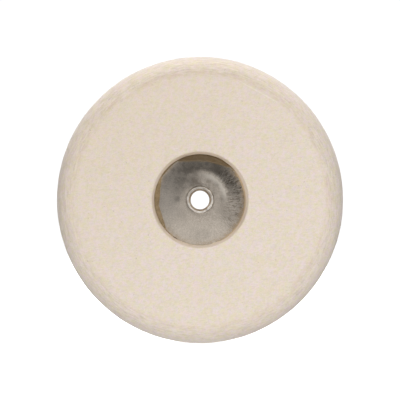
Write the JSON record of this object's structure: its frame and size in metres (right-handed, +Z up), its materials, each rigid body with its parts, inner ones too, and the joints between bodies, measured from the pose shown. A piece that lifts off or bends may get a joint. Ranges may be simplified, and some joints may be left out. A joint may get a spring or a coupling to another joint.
{
  "type": "felt polishing wheel",
  "caption": "Hard felt polishing wheel with a rounded rim, a steel dish set in a recess on each side and a riveted eyelet that takes the arbor.",
  "frame": {"origin": "centre of the arbor bore, on the mid-plane of the felt", "axes": "+Y along the arbor towards the rear side, so the front side faces -Y; +Z up, +X to the right as seen from the front"},
  "size_m": [0.1524, 0.0254, 0.1524],
  "materials": {
    "felt": "dense pressed wool, matte",
    "plated_steel": "dull mottled plating",
    "eyelet_steel": "bright plating",
    "adhesive": "dried brown adhesive, satin"
  },
  "bodies": {
    "root": {"felt_body": "felt", "front_dish": "plated_steel", "rear_dish": "plated_steel", "hub_eyelet": "eyelet_steel", "front_adhesive": "adhesive", "rear_adhesive": "adhesive"}
  },
  "joints": []
}
